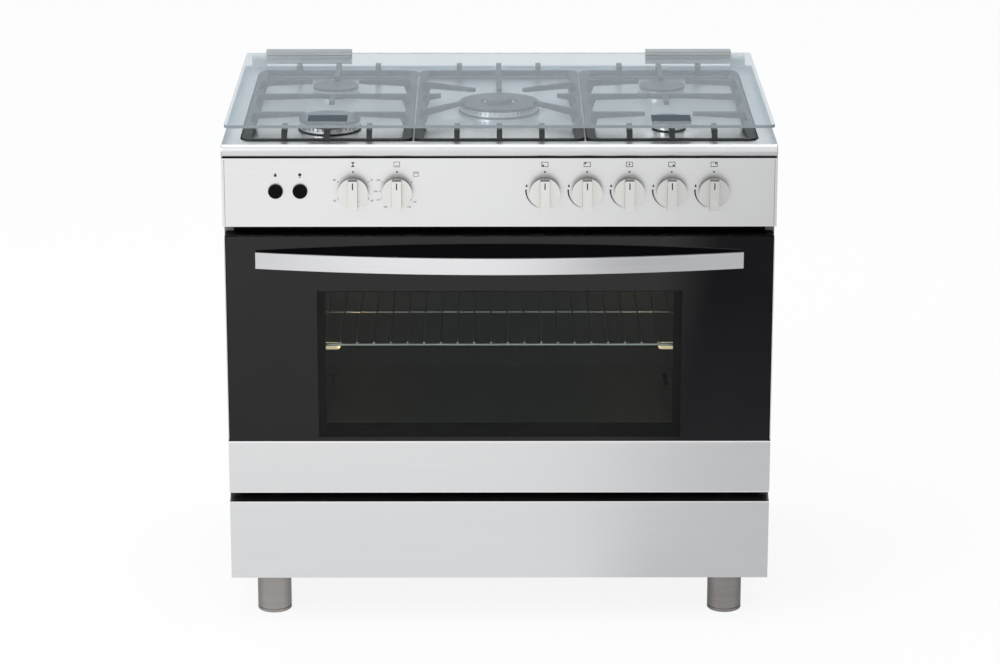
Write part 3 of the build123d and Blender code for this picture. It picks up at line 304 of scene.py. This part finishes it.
def flat_piece(name, shapes, y, look, body):
    """Print seen from the front: outlines of (x, z) points, one face each, laid at depth y."""
    mesh = bpy.data.meshes.new(name)
    made = bmesh.new()
    for points in shapes:
        made.faces.new([made.verts.new((x, y, z)) for x, z in points])
    bmesh.ops.recalc_face_normals(made, faces=made.faces)
    for face in made.faces:
        if face.normal.y > 0:
            face.normal_flip()
    made.to_mesh(mesh)
    made.free()
    carry(name, mesh, look, body)


def wall_piece(name, path, low, high, look, body):
    """Thin upright band along a path of (x, y) points, from one level to another."""
    mesh = bpy.data.meshes.new(name)
    points = [(x, y, z) for x, y in path for z in (low, high)]
    faces = [(2 * n, 2 * n + 2, 2 * n + 3, 2 * n + 1) for n in range(len(path) - 1)]
    mesh.from_pydata(points, [], faces)
    carry(name, mesh, look, body)


def around(x, z, turn, across, up):
    """Point on a ring with the given half width and half height, the turn in degrees from +X."""
    return x + across * math.cos(math.radians(turn)), z + up * math.sin(math.radians(turn))


def disc(x, z, radius, sides=16):
    """Outline of a dot."""
    return [around(x, z, 360 * n / sides, radius, radius) for n in range(sides)]


def bar(x0, x1, z0, z1):
    """Outline of an upright rectangle."""
    return [(x0, z0), (x1, z0), (x1, z1), (x0, z1)]


def hollow_box(x, z, half_x, half_z, line):
    """Outline of a rectangle drawn with a thin line, as four bars."""
    return [
        bar(x - half_x, x + half_x, z + half_z - line, z + half_z),
        bar(x - half_x, x + half_x, z - half_z, z - half_z + line),
        bar(x - half_x, x - half_x + line, z - half_z + line, z + half_z - line),
        bar(x + half_x - line, x + half_x, z - half_z + line, z + half_z - line),
    ]


def flame(x, z, size):
    """Outline of a small flame, drawn in shares of its size."""
    right = [(0.0, 1.0), (0.22, 0.55), (0.5, 0.1), (0.46, -0.35), (0.0, -0.6)]
    left = [(-0.46, -0.35), (-0.5, 0.1), (-0.26, 0.42)]
    return [(x + size * a, z + size * b) for a, b in right + left]


def tapered_arc(x, z, radius, start, end, thick, thin, steps=14):
    """Quads along an arc that grows thinner from its start to its end, angles in degrees from +X."""
    rows = []
    for n in range(steps + 1):
        share = n / steps
        turn = start + (end - start) * share
        half = (thick + (thin - thick) * share) / 2
        rows.append([around(x, z, turn, r, r) for r in (radius - half, radius + half)])
    return [[a[0], a[1], b[1], b[0]] for a, b in zip(rows, rows[1:])]


def number(name, text, x, z, height):
    """Plain figure printed on the panel."""
    curve = bpy.data.curves.new(name, "FONT")
    curve.body = text
    curve.size = height
    curve.align_x = "CENTER"
    curve.align_y = "CENTER"
    upright = (math.pi / 2, 0, 0)
    carry(name, curve, grey_ink, "cooker_body", (x, PRINT_Y, z), upright)


def middle_x(node):
    """Middle of a CAD node across the width."""
    low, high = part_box(node)
    return (low.x + high.x) / 2


# Print on the control panel

# Over each burner knob a place mark and a dot, and beside it a flame with an arc that thins as it shrinks
sign_z = KNOB_Z + 43 * MM
dot_ring, dot = 30.5 * MM, 1.5 * MM
place_across, place_up, place_line = 5.6 * MM, 4.2 * MM, 0.9 * MM
burner_across, burner_along = 2.8 * MM, 1.7 * MM
arc_start, arc_end = 178, 250
arc_thick, arc_thin = 2.6 * MM, 0.5 * MM
flame_aside, flame_rise, flame_size = 29.5 * MM, 7 * MM, 3.2 * MM
burner_marks = {
    "front_left": (-1, -1),
    "rear_left": (-1, 1),
    "wok": (0, 0),
    "front_right": (1, -1),
    "rear_right": (1, 1),
}
marks = []
for name, (across, along) in burner_marks.items():
    x = middle_x(f"knob_{name}")
    marks += hollow_box(x, sign_z, place_across, place_up, place_line)
    marks.append(disc(x + across * burner_across, sign_z + along * burner_along, dot))
    marks.append(disc(x, KNOB_Z + dot_ring, dot))
    marks += tapered_arc(x, KNOB_Z, dot_ring, arc_start, arc_end, arc_thick, arc_thin)
    marks.append(flame(x - flame_aside, KNOB_Z + flame_rise, flame_size))

# Dots and ticks of the timer and the oven knob
timer_x, oven_x = middle_x("knob_timer"), middle_x("knob_oven")
timer_ring, oven_ring, tick = 28.5 * MM, 27.5 * MM, 0.9 * MM
for x in (timer_x, oven_x):
    marks.append(disc(x, KNOB_Z + dot_ring, dot))
for turn in (150, 30, 210, 330):
    marks.append(disc(*around(timer_x, KNOB_Z, turn, timer_ring, timer_ring), tick, 8))
for turn in (150, 183, 208, 236, 304, 325, 30):
    marks.append(disc(*around(oven_x, KNOB_Z, turn, oven_ring, oven_ring), tick, 8))

# Oven mark: a box with a bar along its floor
oven_across, oven_up, oven_line = 5 * MM, 4.4 * MM, 0.7 * MM
floor_z, floor_half = sign_z - 2.6 * MM, 3 * MM
marks += hollow_box(oven_x, sign_z, oven_across, oven_up, oven_line)
marks.append(bar(oven_x - floor_half, oven_x + floor_half, floor_z, floor_z + oven_line))

# Grill mark: a box with short bars under its roof
grill_x, grill_z = oven_x + 31 * MM, KNOB_Z + 27 * MM
grill_across, grill_up, grill_line = 4.4 * MM, 4 * MM, 0.6 * MM
rod_half, rod_foot, rod_head = 0.4 * MM, 0.6 * MM, 3 * MM
marks += hollow_box(grill_x, grill_z, grill_across, grill_up, grill_line)
for step in (-2, 0, 2):
    x = grill_x + step * MM
    marks.append(bar(x - rod_half, x + rod_half, grill_z + rod_foot, grill_z + rod_head))

# Timer mark: an hourglass
hourglass_half, hourglass_up = 3 * MM, 4 * MM
for lift in (-1, 1):
    end_z = sign_z + lift * hourglass_up
    ends = [(timer_x + hourglass_half, end_z), (timer_x - hourglass_half, end_z)]
    marks.append([(timer_x, sign_z)] + ends)

# Button marks: a flame and a lamp
spark_x, lamp_x = middle_x("button_ignition"), middle_x("button_lamp")
spark_z, spark_size = KNOB_Z + 25 * MM, 4.6 * MM
bulb_z, bulb_radius = KNOB_Z + 26 * MM, 2.6 * MM
socket_half, socket_foot, socket_head = 1.3 * MM, KNOB_Z + 21.2 * MM, KNOB_Z + 22.8 * MM
marks.append(flame(spark_x, spark_z, spark_size))
marks.append(disc(lamp_x, bulb_z, bulb_radius))
marks.append(bar(lamp_x - socket_half, lamp_x + socket_half, socket_foot, socket_head))

# Fine joint line near each end of the panel, where it folds round the casing
panel_low, panel_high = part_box("control_panel")
joint_inset, joint_half, joint_margin = 4.6 * MM, 0.35 * MM, 2 * MM
joint_foot, joint_head = panel_low.z + joint_margin, panel_high.z - joint_margin
joints = []
for x in (panel_low.x + joint_inset, panel_high.x - joint_inset):
    joints.append(bar(x - joint_half, x + joint_half, joint_foot, joint_head))
flat_piece("panel_joints", joints, PRINT_Y, joint_grey, "cooker_body")
flat_piece("panel_marks", marks, PRINT_Y, grey_ink, "cooker_body")

# Minutes on a ring round the timer knob, and degrees round the oven knob on one a little lower than wide
figure_across, figure_up = 34.5 * MM, 33.5 * MM
timer_figure, oven_figure = 4.6 * MM, 4.2 * MM
for text, turn in (("80", 150), ("20", 30), ("60", 210), ("40", 330)):
    x, z = around(timer_x, KNOB_Z, turn, figure_across, figure_across)
    number(f"timer_{text}", text, x, z, timer_figure)
for text, turn in (("270", 150), ("240", 183), ("210", 208), ("180", 236), ("160", 304), ("140", 325)):
    x, z = around(oven_x, KNOB_Z, turn, figure_across, figure_up)
    number(f"oven_{text}", text, x, z, oven_figure)

# Black pointer line at the head of each knob's grip
pointer_top, pointer_length, pointer_half = KNOB_Z + 18 * MM, 11 * MM, 0.9 * MM
for name in dials:
    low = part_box(f"knob_{name}")[0]
    x = middle_x(f"knob_{name}")
    body = "timer_dial" if name == "timer" else f"{name}_knob"
    line = bar(x - pointer_half, x + pointer_half, pointer_top - pointer_length, pointer_top)
    flat_piece(f"pointer_{name}", [line], low.y - SKIN_LIFT, print_ink, body)

# Black border of the door glass, open at the window, inside the glass's rounded rim
pane_low, pane_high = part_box("door_outer_glass")
inner_low, inner_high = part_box("door_inner_glass")
rim, rim_foot, rim_head = 2.7 * MM, 0.5 * MM, 3.2 * MM
left, right = pane_low.x + rim, pane_high.x - rim
border = [
    bar(left, right, inner_high.z, pane_high.z - rim_head),
    bar(left, right, pane_low.z + rim_foot, inner_low.z),
    bar(left, inner_low.x, inner_low.z, inner_high.z),
    bar(inner_high.x, right, inner_low.z, inner_high.z),
]
flat_piece("door_print", border, pane_low.y - GLASS_LIFT, printed_glass, "oven_door")

# Painted highlights on the folds along the door strip's edges and the top of the drawer's face, below its
# grip lip
strip_low, strip_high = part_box("door_strip")
drawer_low, drawer_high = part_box("drawer_front")
lip_rise = 5 * MM
face_top = drawer_high.z - lip_rise
head_fold, foot_fold, drawer_fold_highlight = 2.2 * MM, 1.2 * MM, 1.4 * MM
folds = [
    bar(strip_low.x, strip_high.x, strip_high.z - head_fold, strip_high.z),
    bar(strip_low.x, strip_high.x, strip_low.z, strip_low.z + foot_fold),
]
flat_piece("strip_fold_highlights", folds, strip_low.y - SKIN_LIFT, fold_highlight_paint, "oven_door")
fold = bar(drawer_low.x, drawer_high.x, face_top - drawer_fold_highlight, face_top)
flat_piece("drawer_fold_highlight", [fold], drawer_low.y - SKIN_LIFT, fold_highlight_paint, "drawer")

# Ground front edge of the lid glass, round its two front corners
lid_low, lid_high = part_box("lid_glass")
corner = 10 * MM
bend = corner + SKIN_LIFT
front_left = [
    around(lid_low.x + corner, lid_low.y + corner, turn, bend, bend) for turn in range(180, 271, 15)
]
front_right = [(-x, y) for x, y in reversed(front_left)]
wall_piece(
    "lid_edge", front_left + front_right, lid_low.z, lid_high.z, ground_edge, "glass_lid",
)

# Dark base ring round the foot of each burner head, enamel with painted shade: places, head radii and a
# section with a sloped shoulder
hub_depth = 12 * MM
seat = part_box("burner_heads")[0].z + hub_depth
side_x, front_y, rear_y = 280.5 * MM, -123 * MM, 127 * MM
burners = {
    "front_left": (-side_x, front_y, 50 * MM),
    "rear_left": (-side_x, rear_y, 38 * MM),
    "wok": (0.0, -3 * MM, 66 * MM),
    "front_right": (side_x, front_y, 26 * MM),
    "rear_right": (side_x, rear_y, 38 * MM),
}
section = [(0.2, 0.05), (2.4, 0.05), (2.4, 1.4), (1.9, 2.2), (0.2, 2.2)]
ring_steps = 72
for name, (x, y, radius) in burners.items():
    points = []
    faces = []
    for step in range(ring_steps):
        here = step * len(section)
        there = (step + 1) % ring_steps * len(section)
        for n, (out, up) in enumerate(section):
            reach = radius + out * MM
            points.append((*around(x, y, 360 * step / ring_steps, reach, reach), seat + up * MM))
            after = (n + 1) % len(section)
            faces.append((here + n, there + n, there + after, here + after))
    mesh = bpy.data.meshes.new(f"base_ring_{name}")
    mesh.from_pydata(points, [], faces)
    mesh.shade_smooth()
    ring = carry(f"base_ring_{name}", mesh, enamel_and_shade_ring, "cooker_body")
    ring.modifiers.new("crisp_edges", "EDGE_SPLIT")


# Stage: a white floor with a faint shadow, which the front mirrors brighter on the left, in a pale room

def stage_ray(tree):
    """1 for rays that should see the plain pale background, straight or through glass, else 0."""
    path = add(tree, "ShaderNodeLightPath")
    return add(tree, "ShaderNodeMath", {
        "operation": "MAXIMUM", 0: path.outputs["Is Camera Ray"], 1: path.outputs["Is Transmission Ray"],
    }).outputs[0]


def ramp(tree, axis, low, high, source="Object"):
    """Value that runs from 0 to 1 between two places along an axis: metres, or a direction's share."""
    place = add(tree, "ShaderNodeTexCoord").outputs[source]
    along = add(tree, "ShaderNodeVectorMath", {"operation": "DOT_PRODUCT", 0: place, 1: axis})
    limits = {"From Min": low, "From Max": high}
    return add(tree, "ShaderNodeMapRange", {**limits, "Value": along.outputs["Value"]}).outputs[0]


# Pale floor: white to the eye, with a share of shading for the shadow. In mirrors it greys towards the
# cooker, has a soft dark band on the right, and falls off at both sides.
shadow_share = 0.12
floor_look, tree = blank(bpy.data.materials, "pale_floor")
plain = add(tree, "ShaderNodeEmission", {"Color": "#ffffff", "Strength": 1.0})
shaded = add(tree, "ShaderNodeBsdfDiffuse", {"Color": "#ffffff"})
shown = add(tree, "ShaderNodeMixShader", {0: shadow_share, 1: plain.outputs[0], 2: shaded.outputs[0]})
band = add(tree, "ShaderNodeMix", {
    "data_type": "RGBA", SHARE: ramp(tree, (0, 1, 0), -2.3, -0.9), START: "#848588", END: "#bfc0c3",
}).outputs[MIXED]
grades = [
    ((0, 1, 0), -2.6, -0.9, "#dedfe1"),
    ((1, 0.12, 0), 0.08, 0.20, band),
    ((1, 0.12, 0), 0.55, 0.85, "#c6c7c9"),
    ((1, 0, 0), 1.2, 2.4, "#9a9c9f"),
    ((1, 0, 0), -1.0, -2.0, "#a4a6a9"),
]
tint = "#ffffff"
for axis, near, far, colour in grades:
    tint = add(tree, "ShaderNodeMix", {
        "data_type": "RGBA", SHARE: ramp(tree, axis, near, far), START: tint, END: colour,
    }).outputs[MIXED]
lit = add(tree, "ShaderNodeEmission", {"Color": tint, "Strength": 1.0})
mixed = add(tree, "ShaderNodeMixShader", {0: stage_ray(tree), 1: lit.outputs[0], 2: shown.outputs[0]})
add(tree, "ShaderNodeOutputMaterial", {"Surface": mixed.outputs[0]})

floor_mesh = bpy.data.meshes.new("floor")
reach = 8.0
ends = [(-reach, -reach, 0), (reach, -reach, 0), (reach, reach, 0), (-reach, reach, 0)]
floor_mesh.from_pydata(ends, [], [(0, 1, 2, 3)])
floor_mesh.materials.append(floor_look)
floor = bpy.data.objects.new("floor", floor_mesh)
scene.collection.objects.link(floor)
floor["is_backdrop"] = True

# Pale room: white in front and overhead, blue-grey low down behind for the lid to mirror, dark on the right
room, tree = blank(bpy.data.worlds, "pale_room")
behind = ramp(tree, (0, 1, 0), 0.0, 0.35, "Generated")
low_down = ramp(tree, (0, 0, 1), 0.65, 0.30, "Generated")
both = add(tree, "ShaderNodeMath", {"operation": "MULTIPLY", 0: behind, 1: low_down}).outputs[0]
tint = add(tree, "ShaderNodeMix", {
    "data_type": "RGBA", SHARE: both, START: "#f6f7f8", END: "#95a5b1",
}).outputs[MIXED]
tint = add(tree, "ShaderNodeMix", {
    "data_type": "RGBA", SHARE: ramp(tree, (1, 0, 0), 0.4, 0.95, "Generated"), START: tint, END: "#606368",
}).outputs[MIXED]
lit = add(tree, "ShaderNodeBackground", {"Color": tint, "Strength": 1.0})
shown = add(tree, "ShaderNodeBackground", {"Color": "#ffffff", "Strength": 1.0})
mixed = add(tree, "ShaderNodeMixShader", {0: stage_ray(tree), 1: lit.outputs[0], 2: shown.outputs[0]})
add(tree, "ShaderNodeOutputWorld", {"Surface": mixed.outputs[0]})
scene.world = room


def area_lamp(name, place, aim, size, power):
    """Square soft lamp turned to a point."""
    data = bpy.data.lights.new(name, "AREA")
    data.size = size
    data.energy = power
    lamp = bpy.data.objects.new(name, data)
    lamp.location = place
    lamp.rotation_euler = (Vector(aim) - Vector(place)).to_track_quat("-Z", "Y").to_euler()
    scene.collection.objects.link(lamp)


area_lamp("key", place=(-2.2, -2.6, 2.6), aim=(0, -0.2, 0.5), size=1.8, power=40)
area_lamp("top", place=(0, 0.8, 3.2), aim=(0, 0.1, 0.8), size=2.2, power=16)

# Light of the two oven lamps, just off the tip of each bulb
bulbs_low, bulbs_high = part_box("oven_lamps")
bulb_reach = 70 * MM
for side, x in (("left", bulbs_low.x + bulb_reach), ("right", bulbs_high.x - bulb_reach)):
    data = bpy.data.lights.new(f"oven_light_{side}", "POINT")
    data.energy = 0.3
    data.color = linear("#ffcf94")[:3]
    data.shadow_soft_size = 0.0
    lamp = bpy.data.objects.new(f"oven_light_{side}", data)
    lamp.location = (x, (bulbs_low.y + bulbs_high.y) / 2, (bulbs_low.z + bulbs_high.z) / 2)
    scene.collection.objects.link(lamp)

# Camera fitted to the photograph: a long lens in front, above the hob and turned down to it
camera_data = bpy.data.cameras.new("photo_camera")
camera_data.sensor_width = 36.0
camera_data.lens = 125.9
camera = bpy.data.objects.new("photo_camera", camera_data)
camera.location = (-0.0145, -5.7731, 2.1169)
camera_tilt, camera_turn = 0.28567, -0.00278
camera.rotation_euler = (math.pi / 2 - camera_tilt, 0, camera_turn)
scene.collection.objects.link(camera)
scene.camera = camera

scene.view_settings.view_transform = "Standard"

low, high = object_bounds()
